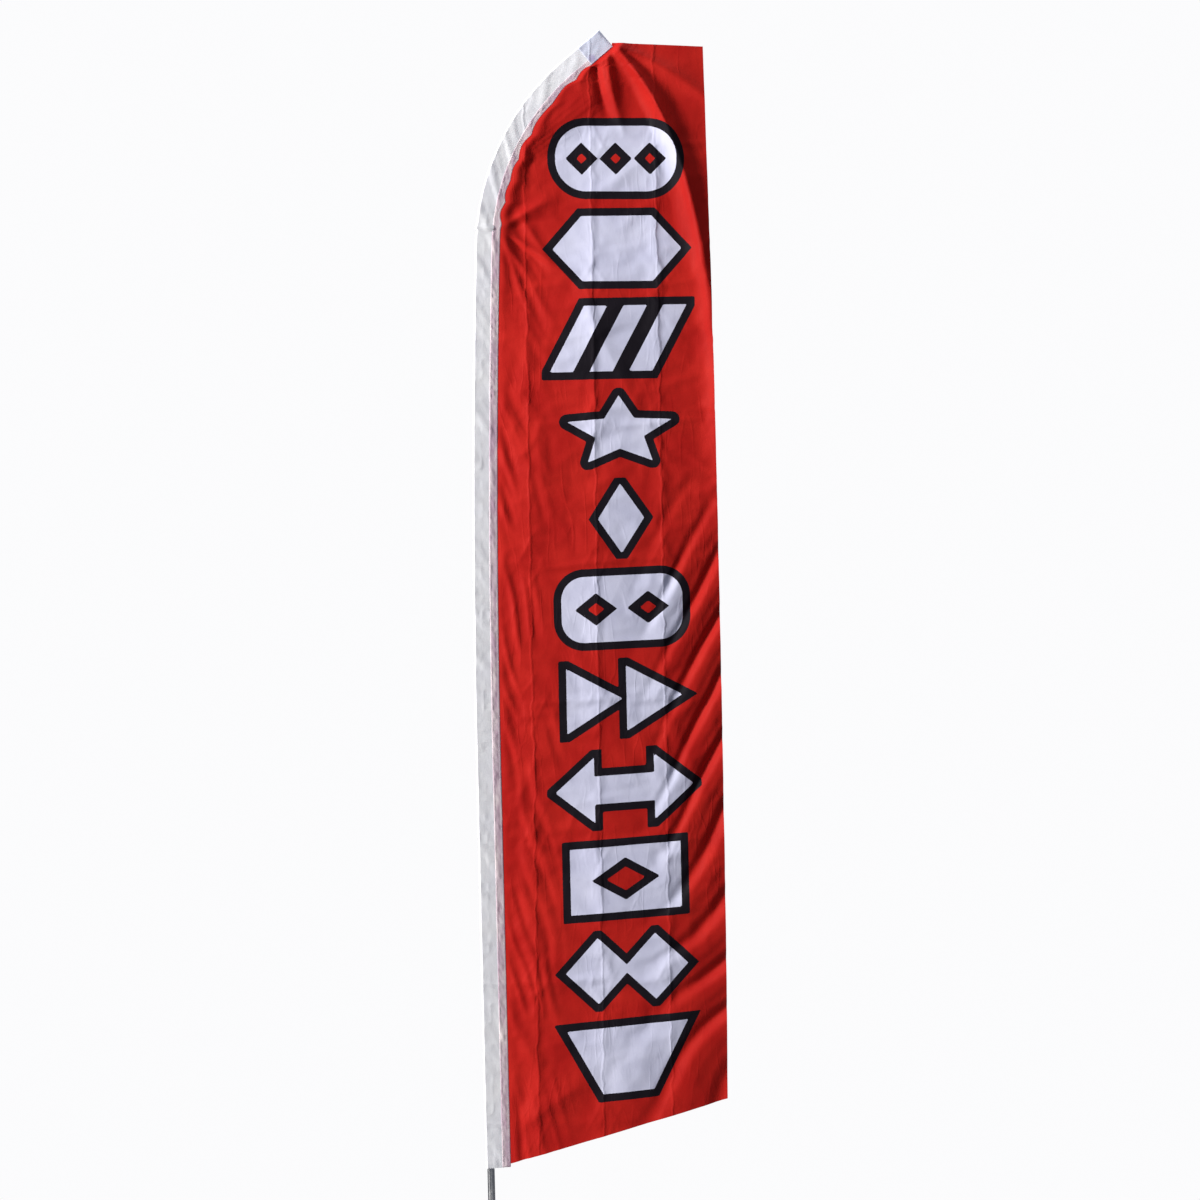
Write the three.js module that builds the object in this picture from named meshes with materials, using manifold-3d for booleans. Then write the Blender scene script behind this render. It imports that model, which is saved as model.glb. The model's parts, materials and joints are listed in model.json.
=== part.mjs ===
// A feather flag sleeved on a four-section pole, standing on a ground spike.
//
// Units are millimetres. +Z is up, +X runs from the pole to the fly edge, and the front of the
// flag faces -Y. The origin is on the pole's axis at ground level, under the foot plate.
//
// Every piece of the pole and the sleeve is first built along a straight pole, where z is the
// distance measured along the pole, and bend() then carries it onto the bowed centreline.

import * as THREE from "three";
import { mergeVertices } from "three/addons/utils/BufferGeometryUtils.js";
import Module from "manifold-3d";

const RUNNING_GAP = 0.1;
const CUT_GAP = 0.3;

// Ground spike
const STAKE_RADIUS = 8;
const STAKE_LENGTH = 400;
const STAKE_POINT_LENGTH = 60;
const STAKE_TIP_RADIUS = 1.5;
const SPINDLE_RADIUS = 6;
const SPINDLE_LENGTH = 160;
const SPINDLE_CHAMFER = 2;
const PLATE_RADIUS = 38;
const PLATE_THICKNESS = 4;
const PLATE_ROUNDING = 1;
const WASHER_RADIUS = 15;
const WASHER_THICKNESS = 2.5;

// Pole: three aluminium tubes and a tapered fibreglass whip, each showing one section length
const POLE_LENGTH = 4572;
const SECTION_COUNT = 4;
const SECTION_LENGTH = POLE_LENGTH / SECTION_COUNT;
const TUBE_RADIUS = 11.1;
const TUBE_WALL = 1.5;
const TUBE_BORE = TUBE_RADIUS - TUBE_WALL;
const JOINT_INSERT = 60;
const JOINT_GAP = 0.2;
const FERRULE_WALL = 1.5;
const FERRULE_CHAMFER = 1;
const BUSH_LENGTH = 32;
const BUSH_FLANGE = 2;
const UPPER_BUSH_HEIGHT = 115;
const WHIP_BUTT_RADIUS = 4.75;
const WHIP_TIP_RADIUS = 2.5;
const WHIP_SLEEVE_RADIUS = 5.4;
const WHIP_SLEEVE_LENGTH = 90;
const SOCKET_COLLAR_LENGTH = 20;
const SOCKET_COLLAR_RADIUS = 7;
const TIP_CAP_RADIUS = 4.2;
const TIP_CAP_DEPTH = 15;
const TIP_CAP_WALL = 3;

// Blind rivets
const RIVET_RADIUS = 1.6;
const RIVET_HEAD_RADIUS = 3.2;
const RIVET_HEAD_HEIGHT = 1.1;
const RIVET_GRIP = 4.6;
const RIVET_FROM_JOINT = 25;

// Flag: a white pole sleeve sewn to a red panel whose bottom edge rises towards the fly
const SLEEVE_LENGTH = 3620;
const SLEEVE_RADIUS = 16;
const SLEEVE_WALL = 0.8;
const SLEEVE_FOLD = 35;
const SLEEVE_FLANK_ANGLE = THREE.MathUtils.degToRad(65);
const SLEEVE_TIP_GAP = 3;
const POCKET_LENGTH = 86;
const POCKET_WALL = 1.4;
const POCKET_END_WALL = 2;
const BAND_THICKNESS = 2.4;
const SEAM_OFFSET = 60;
const SEAM_OFFSET_AT_TIP = 52;
const PANEL_THICKNESS = 1;
const PANEL_GAP = 0.6;
const FLY_TOP = 735;
const FLY_BOTTOM = 733;
const FLY_BULGE = 12;
const HOIST_CORNER_RISE = 8;
const FLY_CORNER_RISE = 197;
const FOLD_LINE_GAP = 1.5;
const HOIST_FOOT_CLIP = 25;
const HOIST_HEAD_CLIP = 4;

// How the pole stands: straight, then a long slight bow, then the crook, then a straight tip
const STRAIGHT_IN_SLEEVE = 1236;
const BOW_RADIUS = 36000;
const BOW_ANGLE = THREE.MathUtils.degToRad(2.55);
const CROOK_RADIUS = 755;
const CROOK_ANGLE = THREE.MathUtils.degToRad(48.75);

const TUBE_SEGMENTS = 32;
const SMALL_SEGMENTS = 16;
const POLE_SAG = 0.08;
const SLEEVE_SAG = 0.5;

const WASHER_BASE = PLATE_THICKNESS + RUNNING_GAP;
const BUSH_BASE = WASHER_BASE + WASHER_THICKNESS + RUNNING_GAP;
const POLE_BASE = BUSH_BASE + BUSH_FLANGE + RUNNING_GAP;
const POLE_TOP = POLE_BASE + POLE_LENGTH;
const WHIP_SEAT = POLE_BASE + 3 * SECTION_LENGTH;
const SLEEVE_TOP = POLE_TOP + SLEEVE_TIP_GAP + POCKET_END_WALL;
const SLEEVE_BASE = SLEEVE_TOP - SLEEVE_LENGTH;
const POCKET_BASE = SLEEVE_TOP - POCKET_LENGTH;

const POLE_RUNS = [
  { length: SLEEVE_BASE + STRAIGHT_IN_SLEEVE, angle: 0 },
  { length: BOW_RADIUS * BOW_ANGLE, angle: BOW_ANGLE },
  { length: CROOK_RADIUS * CROOK_ANGLE, angle: CROOK_ANGLE },
  { length: Infinity, angle: 0 },
];

const wasm = await Module();
wasm.setup();

const finishes = {
  zincSteel: { color: 0xb9bcc0, roughness: 0.38, metalness: 1 },
  aluminium: { color: 0xc9ccd0, roughness: 0.32, metalness: 1 },
  nylon: { color: 0x1d1e20, roughness: 0.55, metalness: 0 },
  rivet: { color: 0xd2d4d6, roughness: 0.28, metalness: 1 },
  fibreglass: { color: 0xe4e2d8, roughness: 0.35, metalness: 0 },
  vinyl: { color: 0x26262a, roughness: 0.6, metalness: 0 },
  whiteCloth: { color: 0xe6e5ec, roughness: 0.7, metalness: 0 },
  pinkCloth: { color: 0xddc6d0, roughness: 0.7, metalness: 0 },
  redCloth: { color: 0xb81f1c, roughness: 0.6, metalness: 0 },
};

// Where the pole's centreline is, and how far it leans from upright, at a distance along it.
function poleAt(along) {
  let x = 0;
  let z = 0;
  let lean = 0;
  let left = along;
  for (const run of POLE_RUNS) {
    const used = Math.min(left, run.length);
    if (run.angle === 0) {
      x += used * Math.sin(lean);
      z += used * Math.cos(lean);
    } else {
      const radius = run.length / run.angle;
      const next = lean + used / radius;
      x += radius * (Math.cos(lean) - Math.cos(next));
      z += radius * (Math.sin(next) - Math.sin(lean));
      lean = next;
    }
    left -= used;
  }
  return { x, z, lean };
}

// Distances along the pole close enough together for straight facets to follow it within sag.
function stations(from, to, sag) {
  const places = [from];
  let start = 0;
  for (const run of POLE_RUNS) {
    const end = Math.min(start + run.length, to);
    const begin = Math.max(start, from);
    if (end > begin) {
      const reach = run.angle === 0 ? Infinity : Math.sqrt((8 * sag * run.length) / run.angle);
      const steps = Math.max(1, Math.ceil((end - begin) / reach));
      for (let i = 1; i <= steps; i += 1) {
        places.push(begin + ((end - begin) * i) / steps);
      }
    }
    start += run.length;
  }
  return places;
}

// Sideways reach of the sleeve and its seam, which narrow a little through the crook.
function reachAt(along) {
  const crookStart = POLE_RUNS[0].length + POLE_RUNS[1].length;
  const part = THREE.MathUtils.clamp((along - crookStart) / (SLEEVE_TOP - crookStart), 0, 1);
  return THREE.MathUtils.lerp(1, SEAM_OFFSET_AT_TIP / SEAM_OFFSET, part);
}

// A point beside the pole: offset is measured square to the pole, towards the flag.
function beside(along, offset) {
  const { x, z, lean } = poleAt(along);
  return new THREE.Vector2(x + offset * Math.cos(lean), z - offset * Math.sin(lean));
}

function bend(geometry, reach = () => 1) {
  const position = geometry.attributes.position;
  for (let i = 0; i < position.count; i += 1) {
    const along = position.getZ(i);
    const place = beside(along, position.getX(i) * reach(along));
    position.setXYZ(i, place.x, position.getY(i), place.y);
  }
  return geometry;
}

// The geometry with shared corners merged, flat-zero triangles dropped and faces turned outwards.
function closed(geometry) {
  const bare = new THREE.BufferGeometry();
  bare.setAttribute("position", geometry.attributes.position.clone());
  bare.setIndex(geometry.index);
  const merged = mergeVertices(bare, 1e-4);
  const corner = (i) => new THREE.Vector3().fromBufferAttribute(merged.attributes.position, i);
  const index = [];
  let volume = 0;
  for (let i = 0; i < merged.index.count; i += 3) {
    const [a, b, c] = [0, 1, 2].map((k) => merged.index.getX(i + k));
    if (a !== b && b !== c && c !== a) {
      index.push(a, b, c);
      volume += corner(a).dot(corner(b).cross(corner(c)));
    }
  }
  merged.setIndex(volume < 0 ? index.reverse() : index);
  merged.computeVertexNormals();
  return merged;
}

function toManifold(geometry) {
  const solid = closed(geometry);
  return new wasm.Manifold(
    new wasm.Mesh({
      numProp: 3,
      vertProperties: new Float32Array(solid.attributes.position.array),
      triVerts: new Uint32Array(solid.index.array),
    }),
  );
}

function subtract(geometry, cutters) {
  const left = cutters.reduce((body, cutter) => body.subtract(toManifold(cutter)), toManifold(geometry));
  const mesh = left.getMesh();
  const result = new THREE.BufferGeometry();
  result.setAttribute("position", new THREE.BufferAttribute(mesh.vertProperties, mesh.numProp));
  result.setIndex(new THREE.BufferAttribute(mesh.triVerts, 1));
  return result;
}

// A solid of revolution about +Z. The profile holds [radius, height] pairs.
function turned(profile, segments = TUBE_SEGMENTS) {
  const points = profile.map(([radius, height]) => new THREE.Vector2(radius, height));
  return new THREE.LatheGeometry(points, segments).rotateX(Math.PI / 2);
}

// A straight tube on the pole's centreline, with an optional chamfer at its upper outside edge.
function tube(radius, bore, from, to, chamfer = 0) {
  const places = stations(from, to, POLE_SAG);
  const outside = places.map((along) => [radius, along]);
  const inside = places.map((along) => [bore, along]).reverse();
  if (chamfer > 0) {
    outside.splice(-1, 1, [radius, to - chamfer], [radius - chamfer, to]);
  }
  return turned([...outside, ...inside, outside[0]]);
}

// The outline of the sleeve across the pole: round over the pole, then flat flanks that close in
// towards the fold line, and past it, where the tail is longer, a flat double layer.
function sleeveOutline(radius, foldX, tailX = foldX) {
  const halfFold = (radius - foldX * Math.cos(SLEEVE_FLANK_ANGLE)) / Math.sin(SLEEVE_FLANK_ANGLE);
  const outline = new THREE.Shape();
  outline.moveTo(tailX, -halfFold);
  if (tailX > foldX) {
    outline.lineTo(tailX, halfFold);
  }
  outline.lineTo(foldX, halfFold);
  outline.absarc(0, 0, radius, SLEEVE_FLANK_ANGLE, 2 * Math.PI - SLEEVE_FLANK_ANGLE);
  outline.lineTo(foldX, -halfFold);
  return outline;
}

// A constant outline carried along the pole between two distances.
function swept(outline, from, to) {
  const places = stations(from, to, SLEEVE_SAG);
  const steps = places.length - 1;
  const geometry = new THREE.ExtrudeGeometry(outline, {
    depth: steps,
    steps,
    bevelEnabled: false,
    curveSegments: 9,
  });
  const position = geometry.attributes.position;
  for (let i = 0; i < position.count; i += 1) {
    position.setZ(i, places[Math.round(position.getZ(i))]);
  }
  return bend(geometry, reachAt);
}

// A flat sheet standing in the XZ plane, centred on y = 0.
function sheet(outline, thickness) {
  return new THREE.ExtrudeGeometry(outline, { depth: thickness, bevelEnabled: false, curveSegments: 24 })
    .rotateX(Math.PI / 2)
    .translate(0, thickness / 2, 0);
}

// A round-headed rivet through one wall of the pole, and the hole it needs, facing side * +Y.
function rivet(along, side) {
  const seat = TUBE_RADIUS + CUT_GAP / 2;
  const profile = [
    [0, -RIVET_GRIP],
    [RIVET_RADIUS, -RIVET_GRIP],
    [RIVET_RADIUS, 0],
    [RIVET_HEAD_RADIUS, 0],
    [RIVET_HEAD_RADIUS * 0.85, RIVET_HEAD_HEIGHT * 0.6],
    [RIVET_HEAD_RADIUS * 0.45, RIVET_HEAD_HEIGHT * 0.93],
    [0, RIVET_HEAD_HEIGHT],
  ];
  const points = profile.map(([radius, height]) => new THREE.Vector2(radius, height));
  const body = new THREE.LatheGeometry(points, SMALL_SEGMENTS).translate(0, seat, 0);
  return bend(body.rotateZ(side > 0 ? 0 : Math.PI).translate(0, 0, along));
}

function rivetHoles(along) {
  const hole = new THREE.CylinderGeometry(
    RIVET_RADIUS + CUT_GAP,
    RIVET_RADIUS + CUT_GAP,
    3 * TUBE_RADIUS,
    SMALL_SEGMENTS,
  );
  return bend(hole.translate(0, 0, along));
}

// Ground spike

function spikeStake() {
  return turned([
    [0, -STAKE_LENGTH],
    [STAKE_TIP_RADIUS, -STAKE_LENGTH],
    [STAKE_RADIUS, -STAKE_LENGTH + STAKE_POINT_LENGTH],
    [STAKE_RADIUS, PLATE_THICKNESS],
    [SPINDLE_RADIUS, PLATE_THICKNESS],
    [SPINDLE_RADIUS, PLATE_THICKNESS + SPINDLE_LENGTH - SPINDLE_CHAMFER],
    [SPINDLE_RADIUS - SPINDLE_CHAMFER, PLATE_THICKNESS + SPINDLE_LENGTH],
    [0, PLATE_THICKNESS + SPINDLE_LENGTH],
  ]);
}

function spikeFootPlate() {
  const bore = STAKE_RADIUS + RUNNING_GAP;
  return turned([
    [bore, 0],
    [PLATE_RADIUS, 0],
    [PLATE_RADIUS, PLATE_THICKNESS - PLATE_ROUNDING],
    [PLATE_RADIUS - PLATE_ROUNDING, PLATE_THICKNESS],
    [bore, PLATE_THICKNESS],
    [bore, 0],
  ]);
}

function thrustWasher() {
  return tube(WASHER_RADIUS, SPINDLE_RADIUS + RUNNING_GAP, WASHER_BASE, WASHER_BASE + WASHER_THICKNESS);
}

// Swivel bushes, pressed into the lowest tube

function lowerBush() {
  const bore = SPINDLE_RADIUS + RUNNING_GAP;
  const body = TUBE_BORE - RUNNING_GAP;
  return turned([
    [bore, BUSH_BASE],
    [TUBE_RADIUS, BUSH_BASE],
    [TUBE_RADIUS, BUSH_BASE + BUSH_FLANGE],
    [body, BUSH_BASE + BUSH_FLANGE],
    [body, BUSH_BASE + BUSH_LENGTH],
    [bore, BUSH_BASE + BUSH_LENGTH],
    [bore, BUSH_BASE],
  ]);
}

function upperBush() {
  return tube(
    TUBE_BORE - RUNNING_GAP,
    SPINDLE_RADIUS + RUNNING_GAP,
    BUSH_BASE + UPPER_BUSH_HEIGHT,
    BUSH_BASE + UPPER_BUSH_HEIGHT + BUSH_LENGTH,
  );
}

// Pole sections

function sectionEnds(number) {
  const from = POLE_BASE + number * SECTION_LENGTH + (number > 0 ? RUNNING_GAP : 0);
  return [from, POLE_BASE + (number + 1) * SECTION_LENGTH];
}

function poleTube(number) {
  const [from, to] = sectionEnds(number);
  return subtract(bend(tube(TUBE_RADIUS, TUBE_BORE, from, to)), [rivetHoles(to - RIVET_FROM_JOINT)]);
}

// A plug that is riveted into the top of one tube and guides the tube above it.
function ferrule(number) {
  const joint = sectionEnds(number)[1];
  const outer = TUBE_BORE - JOINT_GAP;
  const plug = tube(outer, outer - FERRULE_WALL, joint - JOINT_INSERT, joint + JOINT_INSERT, FERRULE_CHAMFER);
  return subtract(bend(plug), [rivetHoles(joint - RIVET_FROM_JOINT)]);
}

// The reducer that is riveted into the top tube and holds the whip's butt.
function whipSocket() {
  const bore = WHIP_SLEEVE_RADIUS + JOINT_GAP;
  const body = TUBE_BORE - JOINT_GAP;
  const socket = turned([
    [bore, WHIP_SEAT - JOINT_INSERT],
    [body, WHIP_SEAT - JOINT_INSERT],
    [body, WHIP_SEAT + RUNNING_GAP],
    [TUBE_RADIUS, WHIP_SEAT + RUNNING_GAP],
    [SOCKET_COLLAR_RADIUS, WHIP_SEAT + SOCKET_COLLAR_LENGTH],
    [bore, WHIP_SEAT + SOCKET_COLLAR_LENGTH],
    [bore, WHIP_SEAT - JOINT_INSERT],
  ]);
  return subtract(bend(socket), [rivetHoles(WHIP_SEAT - RIVET_FROM_JOINT)]);
}

const WHIP_BASE = WHIP_SEAT + SOCKET_COLLAR_LENGTH - JOINT_INSERT;

function whipRadiusAt(along) {
  const part = (along - WHIP_BASE) / (POLE_TOP - WHIP_BASE);
  return THREE.MathUtils.lerp(WHIP_BUTT_RADIUS, WHIP_TIP_RADIUS, part);
}

function whip() {
  const top = POLE_TOP - TIP_CAP_WALL - RUNNING_GAP;
  const side = stations(WHIP_BASE, top, POLE_SAG).map((along) => [whipRadiusAt(along), along]);
  return bend(turned([[0, WHIP_BASE], ...side, [0, top]], SMALL_SEGMENTS));
}

// A metal sleeve glued round the whip's butt, which is what slides in the socket.
function whipButtSleeve() {
  const bore = WHIP_BUTT_RADIUS + RUNNING_GAP;
  return bend(tube(WHIP_SLEEVE_RADIUS, bore, WHIP_BASE, WHIP_BASE + WHIP_SLEEVE_LENGTH));
}

function whipTipCap() {
  const inner = POLE_TOP - TIP_CAP_WALL;
  const mouth = inner - TIP_CAP_DEPTH;
  const bore = whipRadiusAt(mouth) + RUNNING_GAP;
  const cap = turned(
    [
      [bore, mouth],
      [TIP_CAP_RADIUS, mouth],
      [TIP_CAP_RADIUS, inner],
      [TIP_CAP_RADIUS * 0.8, POLE_TOP - TIP_CAP_WALL * 0.4],
      [TIP_CAP_RADIUS * 0.4, POLE_TOP - TIP_CAP_WALL * 0.08],
      [0, POLE_TOP],
      [0, inner],
      [bore, inner],
      [bore, mouth],
    ],
    SMALL_SEGMENTS,
  );
  return bend(cap);
}

// Flag

function poleSleeve() {
  const top = POCKET_BASE - CUT_GAP;
  const outside = swept(sleeveOutline(SLEEVE_RADIUS, SLEEVE_FOLD - CUT_GAP), SLEEVE_BASE, top);
  const inner = sleeveOutline(SLEEVE_RADIUS - SLEEVE_WALL, SLEEVE_FOLD - CUT_GAP - SLEEVE_WALL);
  return subtract(outside, [swept(inner, SLEEVE_BASE - 1, top + 1)]);
}

// The doubled pocket that takes the whip's tip. It is open below and closed at the end.
function sleevePocket() {
  const outside = swept(
    sleeveOutline(SLEEVE_RADIUS, SLEEVE_FOLD, SEAM_OFFSET - PANEL_GAP),
    POCKET_BASE,
    SLEEVE_TOP,
  );
  const inner = sleeveOutline(SLEEVE_RADIUS - POCKET_WALL, SLEEVE_FOLD - POCKET_WALL);
  return subtract(outside, [swept(inner, POCKET_BASE - 1, SLEEVE_TOP - POCKET_END_WALL)]);
}

// The flat sewn edge of the sleeve, with the red panel's hoist edge caught inside it.
function sleeveSeamBand() {
  const outline = new THREE.Shape();
  const right = SEAM_OFFSET - PANEL_GAP;
  outline.moveTo(SLEEVE_FOLD, -BAND_THICKNESS / 2);
  outline.lineTo(right, -BAND_THICKNESS / 2);
  outline.lineTo(right, BAND_THICKNESS / 2);
  outline.lineTo(SLEEVE_FOLD, BAND_THICKNESS / 2);
  return swept(outline, SLEEVE_BASE, POCKET_BASE - CUT_GAP);
}

// The cloth held by the curved seam. Its free side is the chord between the ends of the seam, just
// short of the fold line, about which the rest of the cloth swings.
function flagPanelHoist() {
  const foot = SLEEVE_BASE + HOIST_CORNER_RISE + HOIST_FOOT_CLIP;
  const seam = stations(foot, SLEEVE_TOP - HOIST_HEAD_CLIP, SLEEVE_SAG).map((along) =>
    beside(along, SEAM_OFFSET * reachAt(along)),
  );
  return sheet(new THREE.Shape(seam.reverse()), PANEL_THICKNESS);
}

// The free cloth from the fold line, which joins the foot of the seam to its head, to the fly edge.
function flagPanelFly() {
  const foot = new THREE.Vector2(SEAM_OFFSET + FOLD_LINE_GAP, SLEEVE_BASE + HOIST_CORNER_RISE);
  const head = beside(SLEEVE_TOP, SEAM_OFFSET_AT_TIP);
  head.x += FOLD_LINE_GAP;
  const flyFoot = SLEEVE_BASE + FLY_CORNER_RISE;
  const outline = new THREE.Shape();
  outline.moveTo(foot.x, foot.y);
  outline.lineTo(FLY_BOTTOM, flyFoot);
  outline.quadraticCurveTo(
    (FLY_BOTTOM + FLY_TOP) / 2 + 2 * FLY_BULGE,
    (flyFoot + head.y) / 2,
    FLY_TOP,
    head.y,
  );
  outline.lineTo(head.x, head.y);
  return sheet(outline, PANEL_THICKNESS);
}

function piece(name, geometry, finish) {
  const mesh = new THREE.Mesh(closed(geometry), new THREE.MeshStandardMaterial(finishes[finish]));
  mesh.name = name;
  return mesh;
}

function body(...pieces) {
  const group = new THREE.Group();
  group.add(...pieces);
  return group;
}

function rivetPair(name, joint) {
  return [
    piece(`${name}_rivet_front`, rivet(joint - RIVET_FROM_JOINT, -1), "rivet"),
    piece(`${name}_rivet_back`, rivet(joint - RIVET_FROM_JOINT, 1), "rivet"),
  ];
}

const groundSpike = body(
  piece("spike_stake", spikeStake(), "zincSteel"),
  piece("spike_foot_plate", spikeFootPlate(), "zincSteel"),
  piece("thrust_washer", thrustWasher(), "nylon"),
);

const poleBase = body(
  piece("pole_tube_lower", poleTube(0), "aluminium"),
  piece("lower_bush", lowerBush(), "nylon"),
  piece("upper_bush", upperBush(), "nylon"),
  piece("ferrule_lower", ferrule(0), "aluminium"),
  ...rivetPair("ferrule_lower", sectionEnds(0)[1]),
);

const poleMiddle = body(
  piece("pole_tube_middle", poleTube(1), "aluminium"),
  piece("ferrule_middle", ferrule(1), "aluminium"),
  ...rivetPair("ferrule_middle", sectionEnds(1)[1]),
);

const poleUpper = body(
  piece("pole_tube_upper", poleTube(2), "aluminium"),
  piece("whip_socket", whipSocket(), "aluminium"),
  ...rivetPair("whip_socket", WHIP_SEAT),
);

const whipAndFlag = body(
  piece("whip", whip(), "fibreglass"),
  piece("whip_butt_sleeve", whipButtSleeve(), "aluminium"),
  piece("whip_tip_cap", whipTipCap(), "vinyl"),
  piece("pole_sleeve", poleSleeve(), "whiteCloth"),
  piece("sleeve_pocket", sleevePocket(), "whiteCloth"),
  piece("sleeve_seam_band", sleeveSeamBand(), "pinkCloth"),
  piece("flag_panel_hoist", flagPanelHoist(), "redCloth"),
);

const flagFly = body(piece("flag_panel_fly", flagPanelFly(), "redCloth"));

const featherFlag = new THREE.Group();
featherFlag.add(groundSpike, poleBase, poleMiddle, poleUpper, whipAndFlag, flagFly);

export default featherFlag;
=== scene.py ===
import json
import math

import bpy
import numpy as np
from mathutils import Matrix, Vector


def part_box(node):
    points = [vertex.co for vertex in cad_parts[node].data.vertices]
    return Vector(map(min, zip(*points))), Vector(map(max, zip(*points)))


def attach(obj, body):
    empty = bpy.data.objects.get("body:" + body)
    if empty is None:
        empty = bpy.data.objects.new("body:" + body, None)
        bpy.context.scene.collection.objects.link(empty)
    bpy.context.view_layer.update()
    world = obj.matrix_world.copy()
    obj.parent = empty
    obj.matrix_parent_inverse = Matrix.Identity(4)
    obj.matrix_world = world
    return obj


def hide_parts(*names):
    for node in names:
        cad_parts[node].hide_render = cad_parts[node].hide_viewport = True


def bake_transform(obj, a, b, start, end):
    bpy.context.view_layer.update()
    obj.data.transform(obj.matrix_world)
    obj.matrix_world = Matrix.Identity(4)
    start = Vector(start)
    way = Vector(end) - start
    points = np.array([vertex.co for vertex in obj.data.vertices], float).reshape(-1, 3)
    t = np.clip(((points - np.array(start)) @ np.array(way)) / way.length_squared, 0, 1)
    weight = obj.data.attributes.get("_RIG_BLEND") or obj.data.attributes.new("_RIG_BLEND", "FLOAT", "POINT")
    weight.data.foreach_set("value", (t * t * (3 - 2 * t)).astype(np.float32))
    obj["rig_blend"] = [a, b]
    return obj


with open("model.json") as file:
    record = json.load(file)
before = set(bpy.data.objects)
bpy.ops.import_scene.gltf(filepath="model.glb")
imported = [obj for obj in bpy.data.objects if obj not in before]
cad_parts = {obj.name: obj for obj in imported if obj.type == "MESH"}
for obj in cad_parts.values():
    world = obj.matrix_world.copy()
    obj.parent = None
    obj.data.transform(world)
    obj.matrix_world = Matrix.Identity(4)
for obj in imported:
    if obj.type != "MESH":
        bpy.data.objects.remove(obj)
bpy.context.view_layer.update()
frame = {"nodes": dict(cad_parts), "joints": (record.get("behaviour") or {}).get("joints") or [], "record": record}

# Looks of the feather flag: cloth, print, sleeve, stitching, metal finishes, light and camera.
#
# Lengths are in metres in the frame's own axes: +X from the pole to the fly edge, +Z up, and the
# flag's front faces -Y. Folds are laid out in millimetres on the flag: x from the pole's axis and
# h above the sleeve's foot. Along a pole, "along" is the distance on its centreline from the
# ground, and "offset" is the distance square to it, towards the flag.

MM = 0.001

# The pole's centreline: straight, a long slight bow, the crook, and a straight tip
SLEEVE_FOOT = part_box("pole_sleeve")[0].z
SLEEVE_LENGTH = 3.620
SLEEVE_END = SLEEVE_FOOT + SLEEVE_LENGTH
STRAIGHT_END = SLEEVE_FOOT + 1.236
BOW_RADIUS = 36.0
BOW_ANGLE = math.radians(2.55)
CROOK_RADIUS = 0.755
CROOK_ANGLE = math.radians(48.75)
CROOK_START = STRAIGHT_END + BOW_RADIUS * BOW_ANGLE
CROOK_END = CROOK_START + CROOK_RADIUS * CROOK_ANGLE
POCKET_START = SLEEVE_END - 0.086
KINK = SLEEVE_FOOT + 2.880

# Sleeve and seam band, measured square to the pole, towards the flag
TUBE_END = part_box("whip_socket")[1].z
SLEEVE_LEFT = 0.0152
SLEEVE_CREST = -0.0095
SLEEVE_DEPTH = 0.0162
SLEEVE_DEPTH_OVER_WHIP = 0.0156
SLEEVE_DEPTH_AT_TIP = 0.0085
SLEEVE_EDGE = 0.0012
SLEEVE_WALL = 0.0007
FOLD_DIP = 0.0004
BAND_START = 0.037
SEAM_OFFSET = 0.060
SEAM_OFFSET_AT_TIP = 0.052
SCALLOP_PITCH = 0.093
SCALLOP_DEPTH = 0.010

# Stitches of the seam band
STITCH_PITCH = 0.0042
STITCH_LENGTH = 0.0031
STITCH_HALF_WIDTH = 0.00045
STITCH_ROW_INSET = (0.003, 0.004)

# Flag panel
PANEL_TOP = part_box("flag_panel_fly")[1].z
PANEL_TOP_RISE = 0.011
PANEL_TOP_FALL = 0.007
HOIST_FOOT = SLEEVE_FOOT + 0.008
FLY_FOOT = SLEEVE_FOOT + 0.197
FLY_X_FOOT = 0.733
FLY_X_HEAD = 0.735
FLY_BULGE = 0.012
TUCK = 0.010
CLOTH_THICKNESS = 0.0006
HEM_THICKNESS = 0.0013
HEM_WIDTH = 0.007
LEAST_CUT = 0.0002
COLUMNS = 124
ROWS = 620
FOLDS_TURN = 0.56
BEND_REACH = 0.24

# Cloth simulation of a coarse copy of the panel
SETTLE_COLUMNS = 46
SETTLE_ROWS = 230
SETTLE_FRAMES = 24
SETTLE_HOLD = 0.25
SETTLE_FULLNESS = 0.006
SETTLE_GRAVITY = 0.3
SETTLE_CLOTH = {
    "quality": 6,
    "mass": 0.12,
    "tension_stiffness": 20,
    "compression_stiffness": 12,
    "shear_stiffness": 8,
    "bending_stiffness": 0.12,
    "air_damping": 4,
    "pin_stiffness": 1.2,
    "shrink_min": -SETTLE_FULLNESS,
}

# Where the folds start from, as (x, h) in millimetres, and the chain of the longest ridge
POCKET_CORNER = (459, 3440)
KINK_CORNER = (96, 2886)
LONG_RIDGE = [POCKET_CORNER, (610, 3285), (678, 3000), (741, 2740), (750, 2420), (756, 2130), (752, 1850)]

# The flag was packed folded: long creases as x at the foot and the head, and level cross folds
LONG_CREASES = [(0.152, 0.182), (0.352, 0.388), (0.563, 0.584)]
CROSS_FOLDS = [SLEEVE_FOOT + 3.140 - 0.429 * row for row in range(8)]

# Print: a column of outlined shapes
PRINT_TOP = SLEEVE_FOOT + 3.096
PRINT_PITCH = 0.2768
PRINT_HALF_HEIGHT = 0.101
PRINT_OUTLINE = 0.024
PRINT_REACH = 0.238
PRINT_X_HEAD = 0.459
PRINT_X_FOOT = 0.431
PRINT_TILT_HEAD = math.radians(-1.4)
PRINT_TILT_FOOT = math.radians(4.8)

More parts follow.
